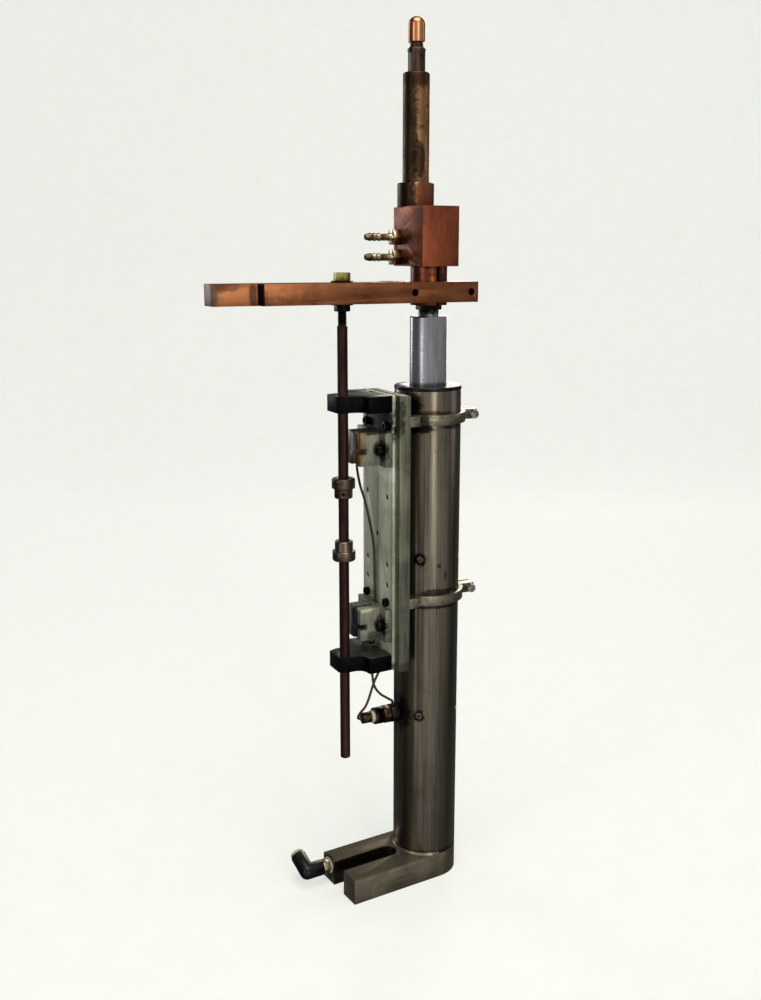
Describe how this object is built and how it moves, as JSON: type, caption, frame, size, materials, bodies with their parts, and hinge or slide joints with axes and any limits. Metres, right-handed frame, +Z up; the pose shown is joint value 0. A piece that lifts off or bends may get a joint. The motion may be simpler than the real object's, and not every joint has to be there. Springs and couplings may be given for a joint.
{
  "type": "pneumatic spot weld electrode cylinder",
  "caption": "Upright air cylinder on a slotted foot; its ram carries a copper conductor bar, cooling block and pointed electrode, with a sensor rail at the side.",
  "frame": {"origin": "on the cylinder's axis, at the middle of the round end of the foot's underside", "axes": "+Z up along the cylinder and electrode; -X towards the open end of the foot's slot; the rail, bar and electrode stand turned by 5 degrees about +Z"},
  "size_m": [0.2605, 0.0799, 0.812],
  "materials": {
    "foot_steel": "ground steel plate with a dull olive-brown film, light scratches",
    "tube_steel": "drawn steel tube, satin, brown-grey with soft upright streaks",
    "ground_steel": "ground and polished rod with milled flats",
    "aluminium": "milled, dull, handled",
    "strap_zinc": "bright zinc plate, lightly scuffed",
    "black_steel": "black oxide, slightly oily",
    "brown_steel": "browned steel rod with rubbed highlights",
    "yellow_zinc": "yellow passivated zinc",
    "bar_copper": "tarnished copper, orange-brown with darker blotches",
    "dark_copper": "heat-darkened copper alloy, dark brown",
    "bright_copper": "freshly turned copper, bright",
    "brass": "turned brass, slightly dull",
    "black_rubber": "moulded, matt",
    "black_plastic": "moulded or machined black plastic, satin",
    "sensor_plastic": "moulded sensor case, satin",
    "cream_plastic": "moulded, pale cream-green",
    "white_plastic": "nylon, off-white",
    "lead_jacket": "extruded cable jacket, dark olive"
  },
  "bodies": {
    "housing": {"foot_plate": "foot_steel", "cylinder_tube": "tube_steel", "rod_gland": "black_steel", "wiper_ring": "black_rubber", "stage_bulkhead_lower": "aluminium", "stage_bulkhead_upper": "aluminium", "bulkhead_screw_lower_1": "black_steel", "bulkhead_screw_lower_2": "black_steel", "bulkhead_screw_upper_1": "black_steel", "bulkhead_screw_upper_2": "black_steel", "fitting_stem": "brass", "strap_lower": "strap_zinc", "strap_upper": "strap_zinc", "strap_screw_lower": "strap_zinc", "strap_screw_upper": "strap_zinc", "rail": "aluminium", "sensor_plate": "aluminium", "guide_block_lower": "black_plastic", "guide_block_upper": "black_plastic", "sensor_mount_lower": "aluminium", "sensor_mount_upper": "aluminium", "sensor_lower": "sensor_plastic", "sensor_upper": "sensor_plastic", "mount_screw_lower": "black_steel", "mount_screw_upper": "black_steel", "plate_screw_lower_1": "black_steel", "plate_screw_lower_2": "black_steel", "plate_screw_upper_1": "black_steel", "plate_screw_upper_2": "black_steel", "sensor_lead_lower": "lead_jacket", "sensor_lead_upper": "lead_jacket", "plug_body": "black_plastic", "plug_nut": "brass", "plug_washer": "white_plastic", "plug_ferrule": "brass"},
    "elbow": {"elbow_body": "black_plastic"},
    "release": {"release_ring": "cream_plastic"},
    "ram": {"piston_rod": "ground_steel", "piston_lower": "aluminium", "piston_middle": "aluminium", "piston_upper": "aluminium", "jam_nut": "black_steel", "copper_post": "bar_copper", "conductor_bar": "bar_copper", "rear_clamp": "bar_copper", "clamp_screw_left": "black_steel", "clamp_screw_right": "black_steel", "water_block": "bar_copper", "hose_barb_lower": "brass", "hose_barb_upper": "brass", "electrode_holder": "dark_copper", "tip_adapter": "dark_copper", "electrode_cap": "bright_copper", "probe_rod": "brown_steel", "probe_lower_nut": "black_steel", "probe_lower_washer": "black_steel", "probe_upper_washer": "black_steel", "probe_upper_nut": "yellow_zinc", "stop_collar_lower": "brown_steel", "stop_collar_upper": "brown_steel"}
  },
  "joints": [
    {"name": "ram_slide", "type": "slide", "parent": "housing", "child": "ram", "axis": [0, 0, 1], "range_m": [-0.054, 0.042]},
    {"name": "elbow_swivel", "type": "hinge", "parent": "housing", "child": "elbow", "pos_m": [-0.123, 0.02, 0.0165], "axis": [1, 0, 0], "continuous": true},
    {"name": "release_press", "type": "slide", "parent": "elbow", "child": "release", "axis": [0, -0.9336, -0.3584], "range_m": [0, 0.0015], "stiffness_N_per_m": 900, "springref_m": -0.0005}
  ]
}
